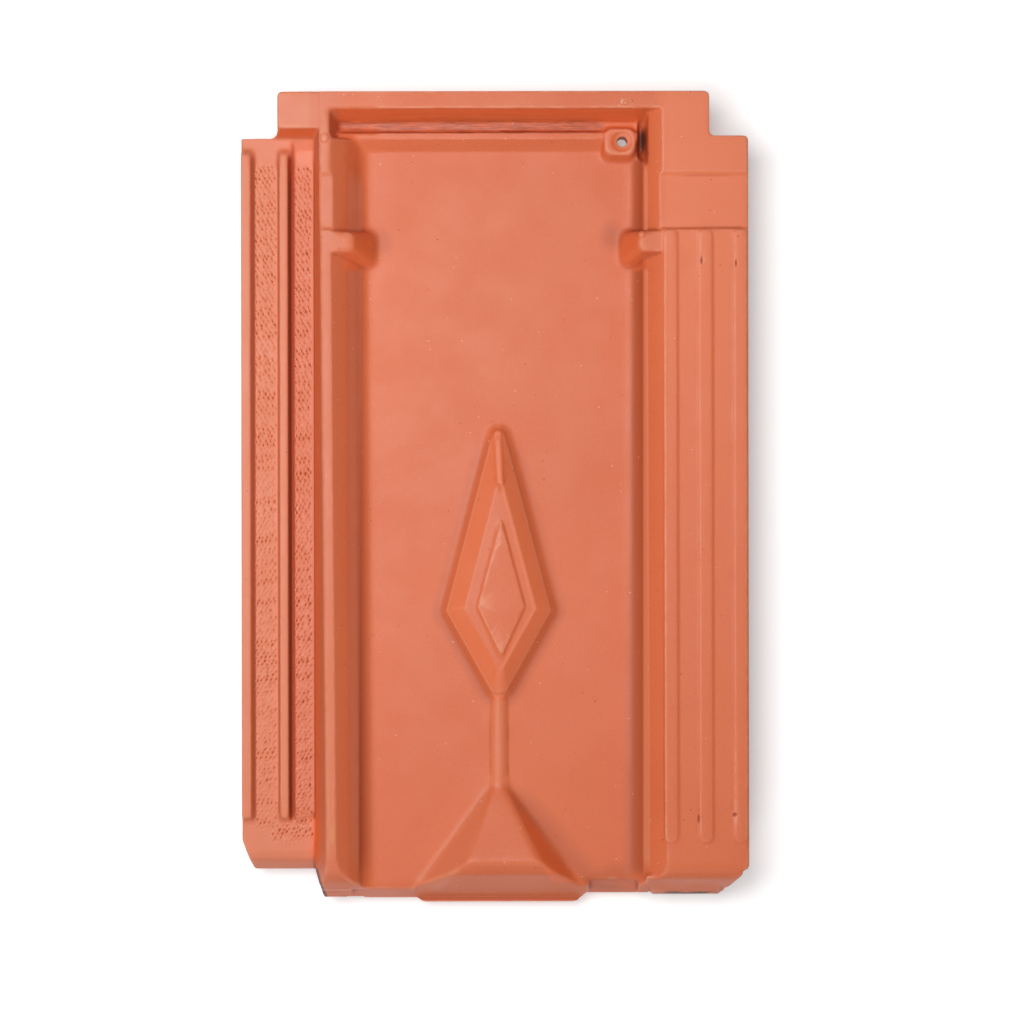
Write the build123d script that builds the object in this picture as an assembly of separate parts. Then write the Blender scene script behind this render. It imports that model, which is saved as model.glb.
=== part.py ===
"""Interlocking clay roof tile, pressed and fired as one piece. Weather face up, head towards +Y."""

import os

from build123d import *
from math import cos, hypot, radians, sin

# Overall size
tile_length = 420
tile_width = 262

# Heights, from the surface that the tile lies on
pan_height = 22
pan_thickness = 11
right_wall_rise = 10.5
crown_rise = 16
crest_step = 1.2
flange_thickness = 8.5
lap_rise = 3
lap_thickness = 9.5

# Cross-section, from the left edge to the right. Pairs are for the tail and the head.
lap_width = 38
rib_widths = (11.2, 8.2)
rib_flanks = (6.5, 3)
left_slope_runs = (6.8, 8.3)
left_wall_rises = (11.8, 10.1)
left_wall_runs = (4.8, 5.1)
left_foot_rises = (6, 4)
left_foot_runs = (1.6, 3)
left_foot_radii = (7.8, 8)
right_foot_radii = (11, 7)
right_wall_runs = (6.7, 3.4)
right_slope_runs = (8.8, 9.1)
flange_widths = (42, 44.3)
crest_radius = 1
left_shoulder_radius = 3
right_shoulder_radius = 1.2
underside_radius = 3
flange_web_offset = 4.5
rib_hollow_depth = 9
rib_hollow_margin = 3
rib_hollow_draft = 2
rib_hollow_setback = 24

# Tail
nose_setback = 6
nose_width = 8
nose_run = 5
parting_height = 10
left_lip_setback = 2
right_lip_setback = 4.5
pan_face_setback = 8
recess_run = 8.4
recess_margin = 6
rib_face_setback = 15
rib_foot_setback = 3.4
rib_end_radius = 17
flange_foot_setback = 5.6
flange_face_setback = 15.9
flange_end_radius = 10
skirt_drop = 13
skirt_width = 6
skirt_run = 4
lap_tail_setback = 17.4
lap_tail_run = 6.6
lap_tail_radius = 8
lap_corner_width = 6
lap_corner_length = 16
rib_corner_width = 5
flange_corner_width = 13.5
flange_corner_length = 15.5
flange_corner_radius = 5

# Head
notch_depth = 23
left_notch_width = 19.5
right_notch_width = 20
notch_radius = 2.5
notch_root_radius = 4.5
tab_drop = 0.4
tab_length = 18.8
tab_run = 4.4
head_strip_width = 8.7
head_wall_run = 5.8
head_groove_width = 5
head_groove_rise = 1.5
head_rib_rise = 5
head_rib_draft = 0.6
head_rib_width = 3.4
head_rib_run = 6.2
groove_end_run = 4.5
head_rebate_width = 9
head_rebate_skin = 17
head_band = 43.5
head_lap = 71.3
step_run = 2

# Nail boss
boss_width = 18.9
boss_rise = 6
boss_draft = 1.4
boss_tail_run = 3.6
boss_radius = 4.5
boss_wall_gap = 2.9
boss_head_reach = 8.1
boss_tail_reach = 10.2
nail_head_offset = 25.1
nail_side_offset = 8.2
nail_diameter = 5.2
nail_ring_diameter = 11
nail_ring_depth = 0.7
pit_depth = 3.5
pit_width = 2.6
pit_side_offset = 2.7
pit_side_draft = 1.6
pit_reach = 8.5
pit_run = 3
pit_tail_run = 7

# Nibs
nib_length = 18.5
nib_top_length = 11.2
nib_left_reach = 23.8
nib_left_slope = 11.5
nib_right_reach = 21.5
nib_right_slope = 9.4
nib_radius = 4
nib_head_draft = 0.8

# Seal ribs in the underlap, with the deeper groove beside the inner one
bar_end_share = 0.45
seal_rib_height = 3.8
seal_rib_end_run = 2.4
outer_rib_width = 6.9
outer_rib_top_width = 4.9
inner_rib_width = 7.3
inner_rib_top_width = 4
inner_rib_top_shift = -0.75
inner_rib_offset = 22.75
seal_rib_head = 29
seal_rib_tail = 43
groove_drop = 3
groove_draft = 0.6
groove_end_length = 6

# Strips on the flange
strip_height = 0.6
strip_width = 7.2
strip_top_width = 6.4
strip_margin = 4.2
strip_tail = 33

# Diamond
ornament_shift = -0.8
diamond_half_width = 26.8
diamond_up = 101.9
diamond_down = 48
diamond_tail_offset = 152.2
diamond_foot_radius = 6
diamond_foot_angle = 60
diamond_foot_shares = (0, 0.25, 0.5, 0.75, 1)
diamond_corner_radii = (3, 4, 5, 4)
diamond_facet_rise = 4.5
diamond_facet_run = 7.8
diamond_top_radii = (1.2, 2, 2, 2)
diamond_top_shift = 0.9
panel_margin = 5
panel_rise = 0.7
panel_run = 1.3
panel_radii = (1.8, 2, 2, 2)
ridge_radius = 2.8
ridge_sink = 2.5
ridge_from = 66.5
ridge_to = 88
ridge_fall = 3.5

# Stem and pyramid
stem_width = 9
stem_rise = 2
stem_end_share = 0.7
pyramid_length = 62.4
pyramid_cap_length = 8.5
pyramid_tip_half_width = 3.2
pyramid_tip_crown = 2
pyramid_tip_rise = 1.2
pyramid_cap_half_width = 9.4
pyramid_cap_crown = 5.7
pyramid_cap_rise = 4.6
pyramid_cap_shift = 0.5
pyramid_half_width = 49
pyramid_crown = 29.1
pyramid_rise = 22.8
pyramid_shift = 4
pyramid_foot_radii = (2, 3, 6)
pyramid_crown_radii = (1, 2.5, 4)
pyramid_apron = 4
pyramid_apron_fall = 0.3
pyramid_sink = 3
pyramid_break_length = 22.4
pyramid_break_rise = 15.2
pyramid_face_length = 16
pyramid_face_rise = 11
pyramid_face_foot = 3
pyramid_face_half_width = 46
pyramid_face_draw = 3
lip_thickness = 1.5
lip_half_width = 40
lip_side_half_width = 47
lip_corner_length = 6
lip_corner_radius = 3
lip_length = 14

# Underside
lug_width_share = 0.22
lug_place_share = 0.25
lug_length = 15
lug_tip_length = 10
lug_head_offset = 16
lap_lock_offset = 53
lap_lock_height = 4
lap_lock_width = 9
lap_lock_tip_width = 5
flange_lock_height = 3
flange_lock_width = 6
flange_lock_tip_width = 4.5
flange_lock_offsets = (24.1, 5.6)
flange_lock_head = 32
flange_lock_tail = 26
diamond_hollow_depth = 6
diamond_hollow_margin = 7
diamond_hollow_run = 7
pyramid_hollow_depth = 10
pyramid_hollow_length = 33
pyramid_hollow_setback = 18
pyramid_hollow_half_width = 27
pyramid_hollow_tip_half_width = 7
pyramid_hollow_top_share = 0.6

# Levels and lines that follow from the sizes
left, right = -tile_width / 2, tile_width / 2
head, tail = tile_length / 2, -tile_length / 2
pan = pan_height
pan_under = pan - pan_thickness
crown = pan + crown_rise
crest = crown + crest_step
above = crest * 2
lap_floor = pan + lap_rise
lap_under = lap_floor - lap_thickness
flange_under = crest - flange_thickness
rib_foot = left + lap_width
rib_right = rib_foot + rib_widths[1]
left_shoulder = rib_right + left_slope_runs[1]
pan_left = left_shoulder + left_wall_runs[1] + left_foot_runs[1]
flange_left = right - flange_widths[1]
right_shoulder = flange_left - right_slope_runs[1]
pan_right = right_shoulder - right_wall_runs[1]
recess_right = right - flange_widths[0] - right_slope_runs[0] - recess_margin
pan_middle = (pan_left + pan_right) / 2
axis = pan_middle + ornament_shift
nib_line = head - head_lap
diamond_line = tail + diamond_tail_offset
pyramid_tip = tail + pyramid_length


def outline(points, radii):
    """Closed outline, with its corners rounded where radii are given."""
    return FilletPolyline(*points, radius=radii, close=True) if radii else Polyline(*points, close=True)


def section(y, end):
    """Cross-section of rib, pan and flange at one end of the tile."""
    slope_left = rib_foot + rib_widths[end]
    wall_left = slope_left + left_slope_runs[end]
    foot_left = wall_left + left_wall_runs[end]
    slope_right = right - flange_widths[end]
    wall_right = slope_right - right_slope_runs[end]
    hollow_left = rib_foot + rib_hollow_margin
    hollow_right = wall_left - rib_hollow_draft
    hollow_top = lap_under + rib_hollow_depth
    corners = [
        ((rib_foot, lap_under), 0),
        ((rib_foot, lap_floor), 0),
        ((rib_foot + rib_flanks[end], crest), crest_radius),
        ((slope_left, crest), crest_radius),
        ((wall_left, pan + left_wall_rises[end]), left_shoulder_radius),
        ((foot_left, pan + left_foot_rises[end]), 0),
        ((foot_left + left_foot_runs[end], pan), left_foot_radii[end]),
        ((wall_right - right_wall_runs[end], pan), right_foot_radii[end]),
        ((wall_right, pan + right_wall_rise), right_shoulder_radius),
        ((slope_right, crest), crest_radius),
        ((right, crest), crest_radius),
        ((right, flange_under), 0),
        ((slope_right + flange_web_offset, flange_under), underside_radius),
        ((wall_right, pan_under), underside_radius),
        ((wall_left, pan_under), 0),
        ((hollow_right, hollow_top), 0),
        ((hollow_left + rib_hollow_draft, hollow_top), 0),
        ((hollow_left, lap_under), 0),
    ]
    points = [point for point, radius in corners]
    radii = [radius for point, radius in corners]
    return make_face(Plane.XZ.offset(-y) * outline(points, radii))


def across(points, x_from, x_to, radii=0):
    """Solid with one outline in Y and Z, running across the tile."""
    return extrude(make_face(Plane.YZ.offset(x_from) * outline(points, radii)), x_to - x_from, dir=(1, 0, 0))


def plate(points, z_from, z_to, radii=0):
    """Solid with one outline in plan."""
    return extrude(make_face(Plane.XY.offset(z_from) * outline(points, radii)), z_to - z_from, dir=(0, 0, 1))


def tapered(low, z_low, high, z_high, radii=0, high_radii=0):
    """Solid between two outlines in plan that have the same corners."""
    low_face = make_face(Plane.XY.offset(z_low) * outline(low, radii))
    high_face = make_face(Plane.XY.offset(z_high) * outline(high, high_radii or radii))
    return loft([low_face, high_face], ruled=True)


def rectangle(x_from, x_to, y_from, y_to):
    return [(x_from, y_from), (x_to, y_from), (x_to, y_to), (x_from, y_to)]


def end_round(y_low, y_high, z_low, x_from, x_to, radius):
    """What is taken off an end of the tile so that its top turns down in a round."""
    length = y_high - tail + radius * 2
    kept = [(y_low, z_low), (y_high, crest), (tail + length, crest), (tail + length, z_low)]
    block = rectangle(tail, tail + length, z_low, crest)
    return across(block, x_from, x_to) - across(kept, x_from, x_to, radii=[0, radius, 0, 0])


def diamond(inset, shift=0):
    """Corners of the diamond, drawn in by an even margin on all sides."""
    upper = hypot(1 / diamond_half_width, 1 / diamond_up)
    lower = hypot(1 / diamond_half_width, 1 / diamond_down)
    rise = inset * (lower - upper) / (1 / diamond_up + 1 / diamond_down)
    half = diamond_half_width * (1 - inset * upper - rise / diamond_up)
    return [
        (axis + shift, diamond_line + diamond_up * (1 - inset * upper)),
        (axis + shift - half, diamond_line + rise),
        (axis + shift, diamond_line - diamond_down * (1 - inset * lower)),
        (axis + shift + half, diamond_line + rise),
    ]


# Rib, pan and flange along the tile
body = loft([section(tail, 0), section(head, 1)], ruled=True)

# Head strip with its rib, standing across the pan
strip_edge = head - head_strip_width
groove_head = strip_edge - head_wall_run
groove_tail = groove_head - head_groove_width
head_rib_head = groove_tail - head_rib_draft
head_rib_tail = head_rib_head - head_rib_width
head_foot = head_rib_tail - head_rib_run
body += across(
    [
        (head, pan_under),
        (head, crest),
        (strip_edge, crest),
        (groove_head, pan + head_groove_rise),
        (groove_tail, pan + head_groove_rise),
        (head_rib_head, pan + head_rib_rise),
        (head_rib_tail, pan + head_rib_rise),
        (head_foot, pan),
        (head_foot, pan_under),
    ],
    rib_right,
    flange_left,
)

# Left end of the head groove, cut into the rib
body -= tapered(
    rectangle(rib_right + groove_end_run, pan_middle, head_rib_tail, groove_head),
    pan + head_groove_rise,
    rectangle(rib_right, pan_middle, head_rib_tail, strip_edge),
    crest,
) - across(
    rectangle(head_foot, head_rib_head, pan, pan + head_rib_rise),
    left,
    right,
)

# Underlap, with its tail end rounded down, and the tab at its head
lap_tail = tail + lap_tail_setback
body += across(
    [(head, lap_under), (head, lap_floor), (lap_tail + lap_tail_run, lap_floor), (lap_tail, lap_under)],
    left,
    rib_foot + crest_radius,
    radii=[0, 0, lap_tail_radius, 0],
)
tab_tail = head - tab_length
tab_foot = tab_tail - tab_run
body += across(
    [
        (head, lap_under),
        (head, crest - tab_drop),
        (tab_tail, crest - tab_drop),
        (tab_foot, lap_floor),
        (tab_foot, lap_under),
    ],
    left,
    rib_right - crest_radius,
)

# Lower level that the tile above rests on
band_line = head - head_band
body -= across(
    [
        (band_line + step_run, crest),
        (band_line, crown),
        (nib_line, crown),
        (nib_line, above),
        (band_line + step_run, above),
    ],
    rib_foot,
    right,
)

# Tail nose underneath, and the end of the hollow under the rib
body += across(
    rectangle(tail + left_lip_setback, tail + rib_hollow_setback, lap_under, lap_floor),
    rib_foot,
    left_shoulder,
)
nose_front = tail + nose_setback
body += across(
    [
        (nose_front, 0),
        (nose_front + nose_width, 0),
        (nose_front + nose_width + nose_run, pan_under),
        (tail + left_lip_setback, pan_under),
        (tail + left_lip_setback, parting_height),
    ],
    pan_left,
    pan_right,
)

# Skirt under the tail of the flange
skirt_foot = flange_under - skirt_drop
skirt_head = tail + flange_foot_setback + skirt_width
body += across(
    [
        (tail, skirt_foot),
        (skirt_head, skirt_foot),
        (skirt_head + skirt_run, flange_under),
        (skirt_head + skirt_run, flange_under + flange_thickness / 2),
        (tail, flange_under + flange_thickness / 2),
    ],
    right_shoulder,
    right,
)

# Outline in plan
body &= plate(
    [
        (left + left_notch_width, head),
        (right - right_notch_width, head),
        (right - right_notch_width, head - notch_depth),
        (right, head - notch_depth),
        (right, tail + right_lip_setback + flange_corner_length),
        (right - flange_corner_width, tail + right_lip_setback),
        (axis, tail + right_lip_setback),
        (axis, tail + left_lip_setback),
        (rib_foot + rib_corner_width, tail + left_lip_setback),
        (rib_foot, lap_tail),
        (left + lap_corner_width, lap_tail),
        (left, lap_tail + lap_corner_length),
        (left, head - notch_depth),
        (left + left_notch_width, head - notch_depth),
    ],
    0,
    above,
    radii=[
        notch_radius,
        notch_radius,
        notch_radius,
        notch_radius,
        flange_corner_radius,
        notch_radius,
        0,
        0,
        notch_radius,
        notch_radius,
        notch_radius,
        notch_radius,
        0,
        notch_root_radius,
    ],
)

# Tail face of the pan, the recess right of the pyramid, and the round ends of rib and flange
body -= across(
    [
        (tail, 0),
        (nose_front, 0),
        (tail + left_lip_setback, parting_height),
        (tail + pan_face_setback, pan),
        (tail + pan_face_setback, above),
        (tail, above),
    ],
    rib_foot,
    pan_right,
)
body -= across(
    [
        (tail + right_lip_setback, parting_height),
        (tail + right_lip_setback + recess_run, pan),
        (tail + right_lip_setback + recess_run, crest),
        (tail, crest),
        (tail, parting_height),
    ],
    axis,
    recess_right,
)
body -= end_round(
    tail + rib_foot_setback, tail + rib_face_setback, lap_under, rib_foot, pan_left, rib_end_radius
)
body -= end_round(
    tail + flange_foot_setback,
    tail + flange_face_setback,
    skirt_foot,
    recess_right,
    right,
    flange_end_radius,
)

# Deeper groove in the underlap, between the inner seal rib and the main rib
inner_rib_middle = left + inner_rib_offset
inner_rib_top = inner_rib_middle + inner_rib_top_shift
groove_left = inner_rib_middle + inner_rib_width / 2
groove_from, groove_to = tail + seal_rib_tail, tab_foot
body -= tapered(
    rectangle(
        groove_left + groove_draft, rib_foot, groove_from + groove_end_length, groove_to - groove_end_length
    ),
    lap_floor - groove_drop,
    rectangle(groove_left, rib_foot, groove_from, groove_to),
    lap_floor,
)

# Seal ribs in the underlap, the outer one flush with the edge, and strips on the flange
rib_from, rib_to = tail + seal_rib_tail, head - seal_rib_head
for low_sides, top_sides in (
    ((left, left + outer_rib_width), (left, left + outer_rib_top_width)),
    (
        (inner_rib_middle - inner_rib_width / 2, inner_rib_middle + inner_rib_width / 2),
        (inner_rib_top - inner_rib_top_width / 2, inner_rib_top + inner_rib_top_width / 2),
    ),
):
    end_radius = (top_sides[1] - top_sides[0]) * bar_end_share
    left_radius = 0 if top_sides[0] == left else end_radius
    body += tapered(
        rectangle(*low_sides, rib_from, rib_to),
        lap_floor,
        rectangle(*top_sides, rib_from + seal_rib_end_run, rib_to - seal_rib_end_run),
        lap_floor + seal_rib_height,
        radii=[left_radius, end_radius, end_radius, left_radius],
    )
for strip_middle in (flange_left + strip_margin, (flange_left + right) / 2, right - strip_margin):
    body += tapered(
        rectangle(
            strip_middle - strip_width / 2, strip_middle + strip_width / 2, tail + strip_tail, nib_line
        ),
        crest,
        rectangle(
            strip_middle - strip_top_width / 2,
            strip_middle + strip_top_width / 2,
            tail + strip_tail + strip_height,
            nib_line - strip_height,
        ),
        crest + strip_height,
        radii=[strip_top_width * bar_end_share] * 4,
    )

# Nail boss with the pit beside it, and its hole
boss_right = right_shoulder - boss_wall_gap
boss_left = boss_right - boss_width
nail_line = head - nail_head_offset
nail_place = boss_right - nail_side_offset
boss_head, boss_tail = nail_line + boss_head_reach, nail_line - boss_tail_reach
pit_right = right_shoulder + pit_side_offset
pit_tail = nail_line - pit_reach
body -= tapered(
    rectangle(boss_right, pit_right - pit_side_draft, pit_tail, groove_head),
    pan,
    rectangle(boss_right, pit_right, pit_tail - pit_tail_run, strip_edge),
    crest,
)
body -= tapered(
    rectangle(boss_right, boss_right + pit_width, pit_tail + pit_run, boss_head),
    pan - pit_depth,
    rectangle(boss_right, pit_right - pit_side_draft, pit_tail, groove_head),
    pan,
)
body += tapered(
    rectangle(boss_left, boss_right, boss_tail, boss_head),
    pan,
    rectangle(
        boss_left + boss_draft, boss_right - boss_draft, boss_tail + boss_tail_run, boss_head - boss_draft
    ),
    pan + boss_rise,
    radii=[boss_radius] * 4,
)
nail = Pos(nail_place, nail_line, 0)
body -= nail * Pos(0, 0, pan + boss_rise) * Cylinder(nail_ring_diameter / 2, nail_ring_depth * 2)
body -= nail * Cylinder(nail_diameter / 2, above * 2)

# Nibs that stop the tile above
body += tapered(
    rectangle(left_shoulder, rib_right + nib_left_reach, nib_line - nib_length, nib_line),
    pan,
    rectangle(
        rib_right - crest_radius,
        rib_right + nib_left_reach - nib_left_slope,
        nib_line - nib_top_length,
        nib_line - nib_head_draft,
    ),
    crest,
    radii=[0, nib_radius, nib_radius, 0],
)
body += tapered(
    rectangle(flange_left - nib_right_reach, right_shoulder, nib_line - nib_length, nib_line),
    pan,
    rectangle(
        flange_left - nib_right_reach + nib_right_slope,
        flange_left + crest_radius,
        nib_line - nib_top_length,
        nib_line - nib_head_draft,
    ),
    crest,
    radii=[nib_radius, 0, 0, nib_radius],
)

# Diamond: hollow round its foot, four facets, flat top and the panel on it
foot_levels = []
for share in diamond_foot_shares:
    angle = radians(diamond_foot_angle)
    margin = diamond_foot_radius * (sin(angle) - sin(angle * share))
    rise = diamond_foot_radius * (1 - cos(angle * share))
    corners = [radius + margin for radius in diamond_corner_radii]
    foot_levels.append(make_face(Plane.XY.offset(pan + rise) * outline(diamond(-margin), corners)))
diamond_edge = pan + rise
diamond_top = diamond_edge + diamond_facet_rise
body += loft(foot_levels, ruled=True)
body += tapered(
    diamond(0),
    diamond_edge,
    diamond(diamond_facet_run, diamond_top_shift),
    diamond_top,
    radii=diamond_corner_radii,
    high_radii=diamond_top_radii,
)
panel_foot = diamond_facet_run + panel_margin
body += tapered(
    diamond(panel_foot, diamond_top_shift),
    diamond_top,
    diamond(panel_foot + panel_run, diamond_top_shift),
    diamond_top + panel_rise,
    radii=panel_radii,
)

# Round ridge down the nose of the diamond
ridge_top = Vector(axis + diamond_top_shift, diamond_line + ridge_from, diamond_top - ridge_sink)
ridge_tip = Vector(axis, diamond_line + ridge_to, diamond_top - ridge_sink - ridge_fall)
ridge = Plane(origin=ridge_top, z_dir=ridge_tip - ridge_top)
ridge_length = (ridge_tip - ridge_top).length
body += ridge * Cylinder(ridge_radius, ridge_length, align=(Align.CENTER, Align.CENTER, Align.MIN))
body += Pos(ridge_tip) * Sphere(ridge_radius)

# Stem from the diamond to the pyramid
stem_half = stem_width / 2
body += extrude(
    make_face(
        Plane.XZ.offset(-pyramid_tip)
        * (
            Line((axis - stem_half, pan), (axis + stem_half, pan))
            + ThreePointArc((axis + stem_half, pan), (axis, pan + stem_rise), (axis - stem_half, pan))
        )
    ),
    diamond_tail_offset - pyramid_length - diamond_down * stem_end_share,
    dir=(0, 1, 0),
)

# Pyramid on the tail: hollow round its foot, soft crown, a sloping face and the lip below it
pyramid_levels = []
for y, half, crown_half, rise, shift, foot_radius, crown_radius in (
    (pyramid_tip, pyramid_tip_half_width, pyramid_tip_crown, pyramid_tip_rise, 0)
    + (pyramid_foot_radii[0], pyramid_crown_radii[0]),
    (pyramid_tip - pyramid_cap_length, pyramid_cap_half_width, pyramid_cap_crown, pyramid_cap_rise)
    + (pyramid_cap_shift, pyramid_foot_radii[1], pyramid_crown_radii[1]),
    (tail, pyramid_half_width, pyramid_crown, pyramid_rise, pyramid_shift)
    + (pyramid_foot_radii[2], pyramid_crown_radii[2]),
):
    side = half + pyramid_apron
    points = [
        (axis - side, pan - pyramid_apron_fall),
        (axis - half, pan),
        (axis + shift - crown_half, pan + rise),
        (axis + shift + crown_half, pan + rise),
        (axis + half, pan),
        (axis + side, pan - pyramid_apron_fall),
        (axis + side, pan - pyramid_sink),
        (axis - side, pan - pyramid_sink),
    ]
    radii = [0, foot_radius, crown_radius, crown_radius, foot_radius, 0, 0, 0]
    pyramid_levels.append(make_face(Plane.XZ.offset(-y) * outline(points, radii)))
pyramid = loft(pyramid_levels, ruled=True)


def lip(y_to):
    """Outline of the pyramid's front end in plan."""
    return [
        (axis - lip_side_half_width, y_to),
        (axis - lip_side_half_width, tail + lip_corner_length),
        (axis - lip_half_width, tail),
        (axis + lip_half_width, tail),
        (axis + lip_side_half_width, tail + lip_corner_length),
        (axis + lip_side_half_width, y_to),
    ]


lip_radii = [0, lip_corner_radius, lip_corner_radius, lip_corner_radius, lip_corner_radius, 0]
pyramid &= plate(lip(pyramid_tip), 0, above, radii=lip_radii)
pyramid += plate(lip(tail + lip_length), parting_height, pan - pyramid_apron_fall, radii=lip_radii)
face_low = parting_height + lip_thickness
face_cut = across(
    [
        (tail + pyramid_break_length, pan + pyramid_break_rise),
        (tail + pyramid_face_length, pan + pyramid_face_rise),
        (tail + pyramid_face_foot, face_low),
        (tail, face_low),
        (tail, above),
        (tail + pyramid_break_length, above),
    ],
    axis - lip_side_half_width,
    axis + lip_side_half_width,
)
drawn_half_width = pyramid_face_half_width - pyramid_face_draw
face_span = make_face(
    Plane.XZ.offset(-tail)
    * Polyline(
        (axis - pyramid_face_half_width, face_low),
        (axis - drawn_half_width, pan),
        (axis - drawn_half_width, above),
        (axis + drawn_half_width, above),
        (axis + drawn_half_width, pan),
        (axis + pyramid_face_half_width, face_low),
        close=True,
    )
)
body -= face_cut & extrude(face_span, pyramid_break_length, dir=(0, 1, 0))
body += pyramid - face_cut

# Batten lugs, and the locks under the tail and the flange
lug_line = head - lug_head_offset
pan_width = pan_right - pan_left
for side in (-1, 1):
    x = pan_middle + side * pan_width * lug_place_share
    body += across(
        [
            (lug_line - lug_length, 0),
            (lug_line - lug_length + lug_tip_length, 0),
            (lug_line, pan_under),
            (lug_line - lug_length, pan_under),
        ],
        x - pan_width * lug_width_share / 2,
        x + pan_width * lug_width_share / 2,
    )
lock_line = tail + lap_lock_offset
body += across(
    [
        (lock_line - lap_lock_tip_width / 2, pan_under - lap_lock_height),
        (lock_line + lap_lock_tip_width / 2, pan_under - lap_lock_height),
        (lock_line + lap_lock_width / 2, pan_under),
        (lock_line - lap_lock_width / 2, pan_under),
    ],
    pan_left,
    pan_right,
)
for offset in flange_lock_offsets:
    lock_from, lock_to = tail + flange_lock_tail, head - flange_lock_head
    lock = right - offset
    body += tapered(
        rectangle(lock - flange_lock_tip_width / 2, lock + flange_lock_tip_width / 2, lock_from, lock_to),
        flange_under - flange_lock_height,
        rectangle(lock - flange_lock_width / 2, lock + flange_lock_width / 2, lock_from, lock_to),
        flange_under,
    )

# Hollows pressed into the underside, so that the clay dries evenly
body -= across(
    rectangle(head - head_rebate_width, head, 0, crest - head_rebate_skin),
    left,
    right,
)
body -= tapered(
    diamond(diamond_hollow_margin),
    pan_under,
    diamond(diamond_hollow_margin + diamond_hollow_run),
    pan_under + diamond_hollow_depth,
)
hollow_tail = tail + pyramid_hollow_setback
hollow_levels = []
for share in (1, pyramid_hollow_top_share):
    inset = pyramid_hollow_length * (1 - share) / 2
    hollow_head = hollow_tail + pyramid_hollow_length - inset
    hollow_levels.append(
        [
            (axis - pyramid_hollow_half_width * share, hollow_tail + inset),
            (axis + pyramid_hollow_half_width * share, hollow_tail + inset),
            (axis + pyramid_hollow_tip_half_width * share, hollow_head),
            (axis - pyramid_hollow_tip_half_width * share, hollow_head),
        ]
    )
body -= tapered(hollow_levels[0], pan_under, hollow_levels[1], pan_under + pyramid_hollow_depth)

os.makedirs("parts", exist_ok=True)
export_step(body, "parts/roof_tile.step")
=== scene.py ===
import math

import bmesh
import bpy
import numpy as np
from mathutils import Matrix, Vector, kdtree


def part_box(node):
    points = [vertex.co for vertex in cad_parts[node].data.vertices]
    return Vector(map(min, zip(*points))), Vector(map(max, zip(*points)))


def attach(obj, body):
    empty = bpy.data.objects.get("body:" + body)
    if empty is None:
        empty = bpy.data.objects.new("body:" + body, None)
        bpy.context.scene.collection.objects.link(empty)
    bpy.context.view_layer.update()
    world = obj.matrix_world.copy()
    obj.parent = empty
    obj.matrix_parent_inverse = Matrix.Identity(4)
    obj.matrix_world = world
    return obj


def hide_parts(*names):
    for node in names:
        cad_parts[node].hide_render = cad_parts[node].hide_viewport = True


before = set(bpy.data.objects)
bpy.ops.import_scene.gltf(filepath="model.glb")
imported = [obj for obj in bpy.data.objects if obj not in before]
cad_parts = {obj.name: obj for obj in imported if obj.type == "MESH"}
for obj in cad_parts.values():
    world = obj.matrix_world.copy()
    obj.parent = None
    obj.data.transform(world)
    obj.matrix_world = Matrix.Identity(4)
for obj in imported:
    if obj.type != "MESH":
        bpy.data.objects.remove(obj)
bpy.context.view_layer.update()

scene = bpy.context.scene
scene.view_settings.view_transform = "Standard"

# The tile: one slab of red clay, squeezed in a plaster mould and fired. The mould leaves every
# edge soft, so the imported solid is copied, closed and evened out to a skin with rounded edges.
SKIN_WELD = 1e-6
SKIN_PITCH = 0.0006
SKIN_PASSES = 4

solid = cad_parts["roof_tile"]
low, high = (np.array(corner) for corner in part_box("roof_tile"))

skin = bmesh.new()
skin.from_mesh(solid.data)
bmesh.ops.remove_doubles(skin, verts=skin.verts, dist=SKIN_WELD)
mesh = bpy.data.meshes.new("fired_tile")
skin.to_mesh(mesh)
skin.free()
tile = bpy.data.objects.new("fired_tile", mesh)
scene.collection.objects.link(tile)


def settled(piece):
    """Mesh that the modifiers of a piece make."""
    bpy.context.view_layer.update()
    made = piece.evaluated_get(bpy.context.evaluated_depsgraph_get())
    return bpy.data.meshes.new_from_object(made)


def settle(piece):
    """Keeps what the modifiers of a piece make as its own mesh."""
    made = settled(piece)
    piece.modifiers.clear()
    piece.data = made


def even_out(piece, name, passes, group=""):
    """Adds a modifier that evens out a skin, all over or where a vertex group says."""
    added = piece.modifiers.new(name, "SMOOTH")
    added.factor = 0.5
    added.iterations = passes
    added.vertex_group = group
    return added


close_up = tile.modifiers.new("close_up", "REMESH")
close_up.mode = "VOXEL"
close_up.voxel_size = SKIN_PITCH
even_out(tile, "soften", SKIN_PASSES)
settle(tile)

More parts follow.
